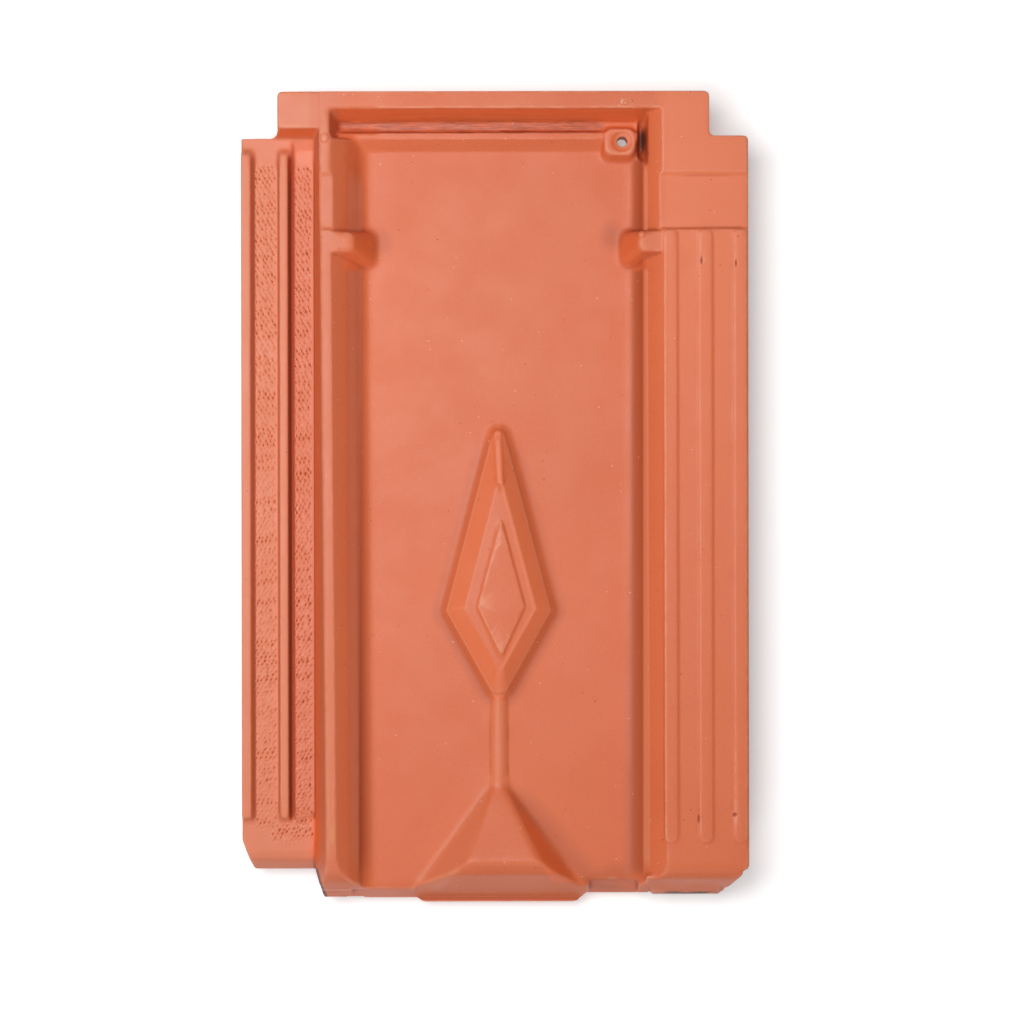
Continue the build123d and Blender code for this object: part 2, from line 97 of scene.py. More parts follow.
# Worn forms: the pyramid, the pan's walls, the nibs, and the ends of the ribs and grooves come out
# of the mould with wide soft edges, so they are evened out a second time. A zone gives its sides,
# its ends, the height from which it is worn, and how much.
WORN_PASSES = 90
WORN_STEPS = 20
WORN_MARGIN = 0.004
WORN_RISE = 0.002
WORN_ZONES = (
    (-0.056, 0.060, -0.204, -0.142, 0.0200, 0.75),
    (-0.052, 0.058, -0.213, -0.196, 0.0105, 0.12),
    (-0.083, -0.056, -0.198, 0.185, 0.0190, 0.45),
    (-0.091, -0.058, 0.166, 0.206, 0.0190, 0.50),
    (0.062, 0.085, -0.200, 0.176, 0.0190, 0.45),
    (0.070, 0.084, 0.168, 0.206, 0.0150, 0.22),
    (-0.083, -0.051, 0.110, 0.146, 0.0190, 0.75),
    (0.053, 0.082, 0.111, 0.146, 0.0190, 0.50),
    (-0.132, -0.103, -0.172, 0.182, 0.0262, 0.12),
    (-0.101, -0.084, -0.186, 0.174, 0.0235, 0.30),
    (0.050, 0.078, 0.168, 0.197, 0.0190, 0.14),
    (-0.116, -0.090, 0.176, 0.193, 0.0190, 0.12),
    (-0.132, -0.103, 0.170, 0.187, 0.0235, 0.40),
    (-0.132, -0.092, -0.177, -0.157, 0.0235, 0.40),
    (-0.096, -0.066, -0.207, -0.180, 0.0200, 0.25),
    (0.070, 0.098, -0.212, -0.184, 0.0200, 0.30),
)
HOLE_PLACE = (0.0665, 0.1849)
HOLE_KEPT, HOLE_CLEAR = 0.0045, 0.00675


def rows_of(mesh, field="co"):
    """Vertex places, or normals, of a mesh, one row each."""
    rows = np.empty(len(mesh.vertices) * 3)
    mesh.vertices.foreach_get(field, rows)
    return rows.reshape(-1, 3)


def fade(values, start, end):
    """Smooth step from 0 at the start to 1 at the end."""
    share = np.clip((values - start) / (end - start), 0, 1)
    return share * share * (3 - 2 * share)


def within(values, start, end, margin):
    """1 between a start and an end, fading out over a margin inside both."""
    return fade(values, start, start + margin) * fade(-values, -end, margin - end)


rows = rows_of(tile.data)
weight = np.zeros(len(rows))
for x_from, x_to, y_from, y_to, z_from, share in WORN_ZONES:
    inside = within(rows[:, 0], x_from, x_to, WORN_MARGIN)
    inside *= within(rows[:, 1], y_from, y_to, WORN_MARGIN)
    inside *= fade(rows[:, 2], z_from, z_from + WORN_RISE)
    weight = np.maximum(weight, share * inside)
off_hole = np.hypot(rows[:, 0] - HOLE_PLACE[0], rows[:, 1] - HOLE_PLACE[1])
weight *= fade(off_hole, HOLE_KEPT, HOLE_CLEAR)
worn = tile.vertex_groups.new(name="worn")
for level in np.linspace(1 / WORN_STEPS, 1, WORN_STEPS):
    picked = np.nonzero((weight > level - 1 / WORN_STEPS) & (weight <= level))[0]
    worn.add(picked.tolist(), float(level), "REPLACE")
even_out(tile, "wear", WORN_PASSES, "worn")
settle(tile)

# The groove floors: the two channels of the underlap are pricked all over with a needle board
# while the clay is wet. The ticks stand in staggered rows and lean with the stroke of the board.
# A zone gives its sides, its ends and the force of the pricks.
PRICK_ZONES = (
    (-0.1232, -0.1128, -0.1700, 0.1722, 0.75),
    (-0.1038, -0.0946, -0.1690, 0.1722, 1.0),
    (-0.1150, -0.0946, -0.1775, -0.1692, 0.8),
)
PRICK_ROW = 0.0020
PRICK_PITCH = 0.0024
PRICK_SLANT = 0.09
PRICK_MISSED = 0.07
PRICK_STRAY_ACROSS, PRICK_STRAY_ALONG = 0.00025, 0.00030
PRICK_ROW_SHIFT = 0.15
PRICK_ROW_FORCES, PRICK_ROW_ODDS = (0.45, 0.75, 1.15), (0.4, 0.35, 0.25)
PRICK_SIZES, PRICK_FORCES = (0.75, 1.2), (0.5, 1.2)
PRICK_HALF_LENGTH = 0.00110
PRICK_HALF_WIDTH = 0.00052
PRICK_DEPTH = 0.00060
PRICK_LEAN_TAIL, PRICK_LEAN_HEAD = math.radians(62), math.radians(108)
PRICK_LEAN_FROM, PRICK_LEAN_TO = -0.12, 0.10
BURR_SHARE, BURR_REACH, BURR_WIDTH = 0.8, 1.35, 0.42
BURR_MIDDLE, BURR_SIDE = 0.55, 2.4
GROOVE_LEFT, GROOVE_RIGHT = -0.1245, -0.0938
GROOVE_HALF_LENGTH, GROOVE_TOP = 0.179, 0.0262
FLAT_FACE, FLAT_POINT = 0.90, 0.85


def put(mesh, rows):
    """Moves the vertices of a mesh to new places."""
    mesh.vertices.foreach_set("co", np.ascontiguousarray(rows).ravel())
    mesh.update()


def to_prick(x, y):
    """Whether a place lies in a pricked zone or just beside it."""
    return any(
        x_from - SKIN_PITCH < x < x_to + SKIN_PITCH and y_from - SKIN_PITCH < y < y_to + SKIN_PITCH
        for x_from, x_to, y_from, y_to, force in PRICK_ZONES
    )


draw = np.random.default_rng(11)
pricks = []
for x_from, x_to, y_from, y_to, force in PRICK_ZONES:
    for number, y in enumerate(np.arange(y_from, y_to, PRICK_ROW)):
        row_force = force * draw.choice(PRICK_ROW_FORCES, p=PRICK_ROW_ODDS)
        stagger = 0.5 * (number % 2) + draw.uniform(-PRICK_ROW_SHIFT, PRICK_ROW_SHIFT)
        for x in np.arange(x_from + PRICK_PITCH * stagger, x_to, PRICK_PITCH):
            if draw.random() < PRICK_MISSED:
                continue
            pricks.append(
                (
                    x + draw.normal(0, PRICK_STRAY_ACROSS),
                    y + draw.normal(0, PRICK_STRAY_ALONG) + PRICK_SLANT * (x - x_from),
                    draw.uniform(*PRICK_SIZES),
                    row_force * draw.uniform(*PRICK_FORCES),
                )
            )
pricks = np.array(pricks)

grooves = bmesh.new()
grooves.from_mesh(tile.data)
edges = {}
for face in grooves.faces:
    if face.normal.z > FLAT_FACE and to_prick(*face.calc_center_median().xy):
        edges.update(dict.fromkeys(face.edges))
bmesh.ops.subdivide_edges(grooves, edges=list(edges), cuts=2, use_grid_fill=True)
grooves.to_mesh(tile.data)
grooves.free()

rows = rows_of(tile.data)
normals = rows_of(tile.data, "normal")
board = kdtree.KDTree(len(pricks))
for number, (x, y, size, force) in enumerate(pricks):
    board.insert((x, y, 0), number)
board.balance()
floor_points = np.nonzero(
    (normals[:, 2] > FLAT_POINT)
    & (rows[:, 0] > GROOVE_LEFT)
    & (rows[:, 0] < GROOVE_RIGHT)
    & (np.abs(rows[:, 1]) < GROOVE_HALF_LENGTH)
    & (rows[:, 2] < GROOVE_TOP)
)[0]
x, y = rows[floor_points, 0], rows[floor_points, 1]
nearest = pricks[[board.find((at_x, at_y, 0))[1] for at_x, at_y in zip(x, y)]]
out, along = x - nearest[:, 0], y - nearest[:, 1]
size, force = nearest[:, 2], nearest[:, 3]
lean = fade(y, PRICK_LEAN_FROM, PRICK_LEAN_TO)
lean = PRICK_LEAN_TAIL + (PRICK_LEAN_HEAD - PRICK_LEAN_TAIL) * lean
lengthwise = (out * np.cos(lean) + along * np.sin(lean)) / (PRICK_HALF_LENGTH * size)
crosswise = (along * np.cos(lean) - out * np.sin(lean)) / (PRICK_HALF_WIDTH * size)
reach = np.hypot(lengthwise, crosswise)
hollow = np.clip(1 - reach * reach, 0, 1) ** 1.5
burr = np.exp(-(((reach - BURR_REACH) / BURR_WIDTH) ** 2))
burr *= np.clip(BURR_MIDDLE + crosswise / BURR_SIDE, 0, 1)
pricked = np.zeros(len(rows))
pricked[floor_points] = force * (hollow - BURR_SHARE * burr)
rows[:, 2] -= PRICK_DEPTH * pricked
put(tile.data, rows)

# Marks of the press: the mould leaves slow waves on the wide faces, each with its height, its turns
# across and along the tile and its start. The wall of the head groove is dragged in fine lines
# where the wet clay is drawn off the mould.
WAVES = ((0.00003, 61, 23, 0.4), (0.00003, -34, 47, 2.1), (0.00001, 97, -83, 4.0))
WAVE_EDGE = (0.002, 0.012)
FACING_UP = 0.3
DRAG_DEPTH = 0.00007
DRAG_FACING = 0.05

rows = rows_of(tile.data)
normals = rows_of(tile.data, "normal")
x, y, z = rows.T
up = normals[:, 2]
wave = sum(rise * np.sin(turn_x * x + turn_y * y + start) for rise, turn_x, turn_y, start in WAVES)
wave *= fade(high[0] - np.abs(x), *WAVE_EDGE) * fade(high[1] - np.abs(y), *WAVE_EDGE)
shift = np.outer(wave * (up > FACING_UP), (0, 0, 1))

groove_wall = fade(y, 0.1905, 0.1915) * fade(-y, -0.2016, -0.2009)
groove_wall *= fade(x, -0.083, -0.078) * fade(-x, -0.076, -0.070)
groove_wall *= fade(z, 0.0215, 0.023) * (up > DRAG_FACING)
drag = np.sin(3900 * z + 2600 * y + 1.5 * np.sin(70 * x))
drag += 0.7 * np.sin(6100 * z + 3300 * y + 21 * x + 1.0)
drag += 0.8 * np.sin(160 * x + 900 * z) * np.sin(2300 * y + 300 * x)
shift += normals * (DRAG_DEPTH * drag * groove_wall)[:, None]

# The diamond's relief: its nose carries a low strip, hollow along the middle, and the plateau
# carries a raised panel. Both are pressed with the tile, and the panel's points are drawn out.
NOSE_FOOT, NOSE_TIP = (0.0030, 0.0080), (0.0016, 0.0340)
NOSE_HALF_WIDTH = 0.0025
NOSE_FOOT_HASTE = 3
NOSE_RISE, NOSE_HOLLOW = 0.0008, 0.5
OFF_PAN, CLEAR_OF_PAN = 0.0225, 0.0245
PLATEAU = ((0.0021, -0.0580), 0.0180, 0.0313, 0.0655)
PLATEAU_INSIDE = (-0.96, -0.70)
LOWER_POINT, LOWER_PULL = 0.0178, 0.0052
UPPER_POINT, UPPER_PULL = 0.0453, 0.0015
PANEL = ((0.0035, -0.0558), 0.0122, 0.0252, 0.0446)
PANEL_INSIDE = (-1.04, -0.97)
PANEL_RISE = 0.00035


def kite(x, y, middle, half_width, lower, upper):
    """Grows from 0 at the middle of a kite to 1 on its outline."""
    over = y - middle[1]
    return np.abs(x - middle[0]) / half_width + np.where(over > 0, over / upper, -over / lower)


share = np.clip((y - NOSE_FOOT[1]) / (NOSE_TIP[1] - NOSE_FOOT[1]), 0, 1)
aside = x - NOSE_FOOT[0] - share * (NOSE_TIP[0] - NOSE_FOOT[0])
past = NOSE_FOOT_HASTE * np.clip(NOSE_FOOT[1] - y, 0, 1) + np.clip(y - NOSE_TIP[1], 0, 1)
reach = np.hypot(aside, past) / NOSE_HALF_WIDTH
nose = np.clip(1 - reach**4, 0, 1) * (up > FACING_UP) * fade(z, OFF_PAN, CLEAR_OF_PAN)
shift[:, 2] += NOSE_RISE * nose * (1 - NOSE_HOLLOW * np.clip(1 - reach, 0, 1))

on_top = (z > OFF_PAN) & (up > 0)
over = y - PLATEAU[0][1]
pull = UPPER_PULL * np.clip(over / UPPER_POINT, 0, 1) - LOWER_PULL * np.clip(-over / LOWER_POINT, 0, 1)
shift[:, 1] += pull * fade(-kite(x, y, *PLATEAU), *PLATEAU_INSIDE) * on_top
panel = fade(-kite(x, y + shift[:, 1], *PANEL), *PANEL_INSIDE)
shift[:, 2] += PANEL_RISE * panel * on_top

# The tail edge: the ends of the main rib and of the flange are drawn out over the mould's lip, and
# the flange's corner is pressed back. A draw gives its sides, the heights between which it comes
# and goes, and its length.
TAIL_DRAWS = (
    (-0.0940, -0.0732, 0.0140, 0.0155, 0.0165, 0.0340, 0.0018),
    (0.0800, 0.1180, 0.0160, 0.0175, 0.0190, 0.0340, 0.0014),
    (0.0735, 0.0868, 0.0112, 0.0128, 0.0165, 0.0185, -0.0022),
)
TAIL_MARGIN = 0.0025
TAIL_FROM, TAIL_FULL = 0.1980, 0.2035
for x_from, x_to, z_under, z_low, z_full, z_none, length in TAIL_DRAWS:
    drawn = within(x, x_from, x_to, TAIL_MARGIN) * fade(-y, TAIL_FROM, TAIL_FULL)
    shift[:, 1] -= length * drawn * fade(-z, -z_none, -z_full) * fade(z, z_under, z_low)

# Marks of handling: a ring is stamped at the head of the main rib, a crumb of clay sticks beside
# the right nib, the flange has four nicks and the rib a scratch, and a tail corner is chipped.
# A nick gives its place, its half width and half length, and its depth.
RING_PLACE = (-0.0871, 0.1863)
RING_RADIUS, RING_WIDTH, RING_DEPTH = 0.0023, 0.00055, 0.00035
RING_FACING = 0.7
CRUMB_PLACE = (0.0760, 0.1363)
CRUMB_RADIUS, CRUMB_RISE = 0.0019, 0.0008
CRUMB_FACING = -0.2
FLANGE_NICKS = (
    (0.1070, 0.1228, 0.0008, 0.0026, 0.0005),
    (0.1246, 0.1212, 0.0007, 0.0022, 0.0005),
    (0.1049, -0.1648, 0.0007, 0.0025, 0.0006),
    (0.1236, -0.1627, 0.0014, 0.0012, 0.0006),
)
RIB_SCRATCH = (-0.0846, -0.1570, 0.0005, 0.0080, 0.0002)
NICK_FACING = 0.6
CHIP_FROM, CHIP_TO = np.array((0.1175, -0.2055)), np.array((0.1310, -0.1900))
CHIP_DEPTH = 0.0009
CHIP_PAST, CHIP_MARGIN = 0.001, 0.005
CHIP_NONE, CHIP_FULL = 0.010, 0.020

ring = np.hypot(x - RING_PLACE[0], y - RING_PLACE[1])
stamped = np.exp(-(((ring - RING_RADIUS) / RING_WIDTH) ** 2)) * (up > RING_FACING)
shift[:, 2] -= RING_DEPTH * stamped

crumb = np.hypot(x - CRUMB_PLACE[0], y - CRUMB_PLACE[1]) / CRUMB_RADIUS
crumb = np.clip(1 - crumb * crumb, 0, 1) * (up > CRUMB_FACING)
shift += normals * (CRUMB_RISE * crumb)[:, None]

for place_x, place_y, half_width, half_length, depth in (*FLANGE_NICKS, RIB_SCRATCH):
    reach = np.hypot((x - place_x) / half_width, (y - place_y) / half_length)
    shift[:, 2] -= depth * np.clip(1 - reach * reach, 0, 1) * (up > NICK_FACING)

run = CHIP_TO - CHIP_FROM
run_length = np.hypot(*run)
run /= run_length
inward = np.array((-run[1], run[0], 0))
along = (x - CHIP_FROM[0]) * run[0] + (y - CHIP_FROM[1]) * run[1]
apart = np.abs((x - CHIP_FROM[0]) * inward[0] + (y - CHIP_FROM[1]) * inward[1])
bite = 0.6 * np.sin(310 * along + 40 * z + 0.5) + 0.4 * np.sin(730 * along + 160 * z + 1.7)
bite = np.clip(bite, 0, 1) * within(along, -CHIP_PAST, run_length + CHIP_PAST, CHIP_MARGIN)
bite *= fade(-apart, -0.005, -0.001) * fade(z, CHIP_NONE, CHIP_FULL)
shift += np.outer(CHIP_DEPTH * bite, inward)
put(tile.data, rows + shift)

# Edges and creases: what stands proud of its surroundings gets a painted highlight, partly the pale
# rub of packing and laying, and what lies in a corner gets painted shade. Both are read off the skin before
# it is thinned.
EDGE_PASSES, EDGE_DEPTH = 10, 0.00012
CREASE_PASSES, CREASE_DEPTH = 50, 0.0005
NOSE_LESS_EDGE_PALE = 0.75
SKIN_TRIANGLES = 194000


def stand_out(piece, passes, depth):
    """How far each point stands out of the evened skin, counted in a depth."""
    evening = even_out(piece, "evening", passes)
    made = settled(piece)
    piece.modifiers.remove(evening)
    offset = rows_of(piece.data) - rows_of(made)
    bpy.data.meshes.remove(made)
    return np.clip(np.einsum("ij,ij->i", offset, rows_of(piece.data, "normal")) / depth, -1, 1)


edge_wear_and_highlight = stand_out(tile, EDGE_PASSES, EDGE_DEPTH) * (1 - NOSE_LESS_EDGE_PALE * (nose > 0))
cornered = stand_out(tile, CREASE_PASSES, CREASE_DEPTH)
for name, values in (("edge_wear_and_highlight", edge_wear_and_highlight), ("cornered", cornered), ("pricked", pricked)):
    field = tile.data.attributes.new(name, "FLOAT", "POINT")
    field.data.foreach_set("value", values)

thin = tile.modifiers.new("thin", "DECIMATE")
bpy.context.view_layer.update()
tile.data.calc_loop_triangles()
thin.ratio = SKIN_TRIANGLES / len(tile.data.loop_triangles)
settle(tile)
tile.data.polygons.foreach_set("use_smooth", np.ones(len(tile.data.polygons), dtype=bool))
put(tile.data, np.clip(rows_of(tile.data), low, high))

# The clay's body: brick clay, fired red all through. The kiln leaves slow shifts of tone and small
# patches, and the clay has a fine grain of dark and pale grit.
CLAY_BODY = (0.665, 0.142, 0.0500, 1)
CLAY_WARM = (0.690, 0.157, 0.0570, 1)
CLAY_DEEP = (0.630, 0.129, 0.0440, 1)
# The dark and the pale colour also serve further on for painted shade and painted highlights.
DARK_AND_SHADE_CLAY = (0.330, 0.050, 0.0150, 1)
PALE_AND_HIGHLIGHT_CLAY = (0.760, 0.265, 0.1500, 1)
KILN_SHIFT = 0.35

clay = bpy.data.materials.new("fired_clay")
clay.use_nodes = True
tree = clay.node_tree
shader = tree.nodes["Principled BSDF"]
place = tree.nodes.new("ShaderNodeTexCoord").outputs["Object"]
parts = tree.nodes.new("ShaderNodeSeparateXYZ")
tree.links.new(place, parts.inputs[0])
side, length_along, height = parts.outputs


def feed(socket, value):
    """Links a socket to another one, or sets it to a value."""
    if isinstance(value, bpy.types.NodeSocket):
        tree.links.new(value, socket)
    else:
        socket.default_value = value


def span(value, start, end, low_value=0.0, high_value=1.0, kind="SMOOTHSTEP"):
    """Run from one value to another while the input goes from start to end."""
    made = tree.nodes.new("ShaderNodeMapRange")
    made.interpolation_type = kind
    for socket, number in zip(made.inputs, (value, start, end, low_value, high_value)):
        feed(socket, number)
    return made.outputs[0]


def grain(scale, detail, rough, stretch=(1, 1, 1)):
    """Noise over the tile, which can be drawn out along an axis."""
    where = tree.nodes.new("ShaderNodeMapping")
    feed(where.inputs["Vector"], place)
    feed(where.inputs["Scale"], stretch)
    made = tree.nodes.new("ShaderNodeTexNoise")
    feed(made.inputs["Vector"], where.outputs[0])
    feed(made.inputs["Scale"], scale)
    feed(made.inputs["Detail"], detail)
    feed(made.inputs["Roughness"], rough)
    return made.outputs[0]


def blend(factor, first, second):
    """Colour between two, by a share of the second."""
    made = tree.nodes.new("ShaderNodeMix")
    made.data_type = "RGBA"
    feed(made.inputs[0], factor)
    feed(made.inputs[6], first)
    feed(made.inputs[7], second)
    return made.outputs[2]


broad = span(grain(11.0, 3.0, 0.5), 0.36, 0.64)
patchy = grain(70.0, 4.0, 0.6)
fine = grain(1500.0, 3.0, 0.65)
tone = blend(KILN_SHIFT, CLAY_BODY, blend(broad, CLAY_DEEP, CLAY_WARM))
tone = blend(span(patchy, 0.52, 0.72, 0.0, 0.20), tone, CLAY_WARM)
tone = blend(span(patchy, 0.48, 0.30, 0.0, 0.20), tone, CLAY_DEEP)
tone = blend(span(fine, 0.46, 0.28, 0.0, 0.32), tone, DARK_AND_SHADE_CLAY)
tone = blend(span(fine, 0.56, 0.74, 0.0, 0.24), tone, PALE_AND_HIGHLIGHT_CLAY)

# Paler underlap and painted light: the underlap is paler and greyer, the flange's top and the facets
# of the diamond get painted light, and the steep faces of the head, the nibs, the main rib and the
# pyramid are painted a brighter orange for the light thrown back onto them.
PALE_GREY_AND_SHEEN_CLAY = (0.640, 0.185, 0.1000, 1)
PAINTED_LIGHT_CLAY = (0.800, 0.200, 0.0850, 1)
PAINTED_BOUNCE_CLAY = (0.800, 0.152, 0.0440, 1)
DIAMOND_PLACE = (0.0021, -0.0578)
DIAMOND_HALF, DIAMOND_LOWER, DIAMOND_UPPER = 0.0268, 0.0480, 0.1019


def sums(operation, *values):
    """Result of one sum on values or sockets."""
    made = tree.nodes.new("ShaderNodeMath")
    made.operation = operation
    for socket, value in zip(made.inputs, values):
        feed(socket, value)
    return made.outputs[0]


def times(first, *others):
    """Product of masks and shares."""
    for other in others:
        first = sums("MULTIPLY", first, other)
    return first


def strip(left_from, left_to, right_from, right_to):
    """Mask of a strip along the tile, soft on both sides."""
    return times(span(side, left_from, left_to), span(side, right_from, right_to, 1.0, 0.0))


def between(tail_from, tail_to, head_from, head_to):
    """Mask of a stretch of the tile's length, soft at both ends."""
    from_tail = span(length_along, tail_from, tail_to)
    return times(from_tail, span(length_along, head_from, head_to, 1.0, 0.0))


def vector(operation, first, second=(0, 0, 0), output="Vector"):
    """Result of one sum on places."""
    made = tree.nodes.new("ShaderNodeVectorMath")
    made.operation = operation
    feed(made.inputs[0], first)
    feed(made.inputs[1], second)
    return made.outputs[output]


def off_line(first, second):
    """Distance to the right of a line that runs between two places in plan."""
    run_x, run_y = second[0] - first[0], second[1] - first[1]
    length = math.hypot(run_x, run_y)
    across = (run_y / length, -run_x / length, 0)
    start = across[0] * first[0] + across[1] * first[1]
    return sums("SUBTRACT", vector("DOT_PRODUCT", place, across, "Value"), start)


def diamond_side(point):
    """Distance outside the side of the diamond that runs up, or down, to a point."""
    to_point = sums("DIVIDE", sums("SUBTRACT", length_along, DIAMOND_PLACE[1]), point)
    share = sums("SUBTRACT", sums("DIVIDE", from_axis, DIAMOND_HALF), 1.0)
    return times(sums("ADD", share, to_point), DIAMOND_HALF * abs(point) / math.hypot(DIAMOND_HALF, point))


tone = blend(span(side, -0.072, -0.090, 0.0, 0.55), tone, PALE_GREY_AND_SHEEN_CLAY)
tone = blend(span(side, -0.0930, -0.0965, 0.0, 0.22), tone, PALE_AND_HIGHLIGHT_CLAY)
# Painted light: the flange's top is painted lighter, more so toward the head.
flange_top = times(span(side, 0.080, 0.092), span(length_along, -0.10, 0.16, 0.15, 0.65))
tone = blend(flange_top, tone, PAINTED_LIGHT_CLAY)

from_axis = sums("ABSOLUTE", sums("SUBTRACT", side, DIAMOND_PLACE[0]))
outside = sums("MAXIMUM", diamond_side(DIAMOND_UPPER), diamond_side(-DIAMOND_LOWER))
# Painted light: the facets of the diamond are painted a brighter orange.
facets = times(span(outside, 0.0, -0.0012), span(outside, -0.0090, -0.0080), 0.45)
tone = blend(facets, tone, PAINTED_LIGHT_CLAY)
# Painted highlight along the stem's ridge.
stem = times(span(from_axis, 0.0052, 0.0036), between(-0.150, -0.146, -0.106, -0.103), 0.28)
tone = blend(stem, tone, PALE_AND_HIGHLIGHT_CLAY)

# Painted highlight along the pyramid's left foot.
left_slope = off_line((-0.0446, -0.2026), (-0.0019, -0.1469))
left_face = times(
    span(left_slope, -0.0015, 0.0015),
    span(left_slope, 0.0160, 0.0110),
    between(-0.206, -0.200, -0.152, -0.146),
    span(off_line((-0.0140, -0.1874), (-0.0019, -0.1492)), 0.0010, -0.0015),
)
tone = blend(times(left_face, 0.35), tone, PALE_AND_HIGHLIGHT_CLAY)
right_slope = off_line((0.0520, -0.2040), (0.0065, -0.1500))
right_face = times(
    span(right_slope, 0.0010, -0.0010),
    span(right_slope, -0.0160, -0.0110),
    between(-0.206, -0.200, -0.156, -0.150),
    span(off_line((0.0224, -0.1843), (0.0079, -0.1492)), -0.0010, 0.0015),
)

# Painted light: these steep faces are painted a brighter orange for the light thrown back onto them.
on_slope = times(span(height, 0.0228, 0.0260), span(height, 0.0388, 0.0375))
nib_stretch = between(0.1165, 0.1195, 0.1375, 0.1400)
for bounce_lit in (
    times(between(0.1870, 0.1884, 0.1906, 0.1916), strip(-0.115, -0.111, -0.094, -0.091), 0.9),
    times(between(0.1950, 0.1962, 0.2004, 0.2014), strip(-0.082, -0.078, 0.0750, 0.0785), 0.9),
    times(nib_stretch, strip(-0.0790, -0.0765, -0.0600, -0.0560), 0.55),
    times(nib_stretch, strip(0.0600, 0.0630, 0.0745, 0.0765), 0.45),
    times(between(-0.1920, -0.1850, 0.1720, 0.1780), strip(-0.0955, -0.0946, -0.0905, -0.0893), 0.95),
    times(right_face, 0.8),
):
    tone = blend(times(bounce_lit, on_slope), tone, PAINTED_BOUNCE_CLAY)

# Corners, edges and pricks: corners and creases get painted shade in uneven patches, edges go pale
# in patches as a painted highlight, partly rubbed wear, and a prick gets painted shade in its hollow
# and a painted highlight on the burr that the needle throws up.
CREASE_SHADE_PATCHES = 0.25
EDGE_PALE_SHARE = 0.7


def field_of(name):
    """Value that the skin keeps at each point."""
    made = tree.nodes.new("ShaderNodeAttribute")
    made.attribute_name = name
    return made.outputs["Fac"]


# Painted shade in corners and creases, in uneven patches.
uneven = times(sums("SUBTRACT", patchy, 0.5), CREASE_SHADE_PATCHES)
crease_shade = times(
    span(sums("ADD", field_of("cornered"), uneven), -0.10, -0.70),
    span(length_along, 0.170, 0.180, 0.6, 0.0),
    span(outside, 0.006, 0.012, 0.3, 1.0),
)
tone = blend(crease_shade, tone, DARK_AND_SHADE_CLAY)
# Painted highlight, partly rubbed wear: edges that stand proud go pale in patches.
edge_pale_patches = span(grain(160.0, 3.0, 0.6), 0.34, 0.62, 0.35, 1.0)
tone = blend(times(span(field_of("edge_wear_and_highlight"), 0.12, 0.75), edge_pale_patches, EDGE_PALE_SHARE), tone, PALE_AND_HIGHLIGHT_CLAY)
tick = field_of("pricked")
# Painted shade in each prick's hollow and a painted highlight on its burr.
tone = blend(span(tick, 0.10, 0.80, 0.0, 0.45), tone, DARK_AND_SHADE_CLAY)
tone = blend(span(tick, -0.06, -0.45, 0.0, 0.50), tone, PALE_AND_HIGHLIGHT_CLAY)

# Painted shade and painted highlights: the feet of the pan's walls, the flanks of the seal ribs, the
# inner groove, the floor of the head groove and the line where it meets the head rib, the pit beside
# the boss, the ground round the diamond, the nibs and the pyramid, the tail's recess and corner and
# the lip's crease get painted shade. The diamond's rim and the flange's shoulder get painted
# highlights, and the left ledge a painted sheen.
SHADE_CLAY = (0.370, 0.076, 0.0310, 1)
DARKEST_CLAY = (0.080, 0.017, 0.0080, 1)
TAIL_END, HEAD_END = -0.21, 0.21


def drift(tail_value, head_value):
    """Value that runs from one at the tail to another at the head."""
    return span(length_along, TAIL_END, HEAD_END, tail_value, head_value, "LINEAR")


def spot(centre, sizes):
    """Distance from a place on the tile, counted in the sizes of the spot."""
    away = vector("DIVIDE", vector("SUBTRACT", place, centre), sizes)
    return vector("LENGTH", away, output="Value")


clear_of_nibs = sums("SUBTRACT", 1.0, between(0.1170, 0.1200, 0.1375, 0.1390))
left_foot = strip(
    drift(-0.0708, -0.0745), drift(-0.0696, -0.0715), drift(-0.0694, -0.0710), drift(-0.0590, -0.0650)
)
right_foot = strip(
    drift(0.0640, 0.0700), drift(0.0725, 0.0745), drift(0.0758, 0.0764), drift(0.0776, 0.0780)
)
rib_stretch = between(-0.1680, -0.1640, 0.1750, 0.1800)
streaks = span(grain(850.0, 3.0, 0.65, (0.12, 1, 1)), 0.36, 0.64, 0.15, 1.0)
head_floor = times(between(0.1908, 0.1918, 0.1950, 0.1975), strip(-0.083, -0.077, 0.054, 0.060))
head_line = times(between(0.1888, 0.1897, 0.1908, 0.1918), strip(-0.081, -0.076, 0.050, 0.058))
boss_pit = times(strip(0.0738, 0.0752, 0.0782, 0.0808), between(0.1745, 0.1790, 0.1900, 0.1950))
ground = times(
    span(outside, 0.0100, 0.0034),
    span(outside, 0.0003, 0.0032),
    span(from_axis, 0.0020, 0.0055),
    between(-0.112, -0.100, 0.020, 0.038),
    span(side, -0.006, 0.010, 0.8, 1.0),
    span(length_along, -0.075, -0.035, 0.55, 0.34),
)
beside = times(span(right_slope, 0.0130, 0.0010), span(right_slope, -0.0030, 0.0006))
lip_line = times(between(-0.2096, -0.2088, -0.2078, -0.2068), strip(-0.042, -0.040, 0.042, 0.046))
deep_pit = spot((0.0772, 0.1862, 0.022), (0.0030, 0.0095, 0.0200))
left_nib_foot = spot((-0.0585, 0.1335, 0.022), (0.0080, 0.0100, 0.0060))
right_nib_foot = spot((0.0615, 0.1365, 0.022), (0.0085, 0.0110, 0.0060))
tail_recess = spot((0.0600, -0.2050, 0.016), (0.0150, 0.0060, 0.0080))
tail_corner = spot((0.0620, -0.1950, 0.022), (0.0120, 0.0090, 0.0060))
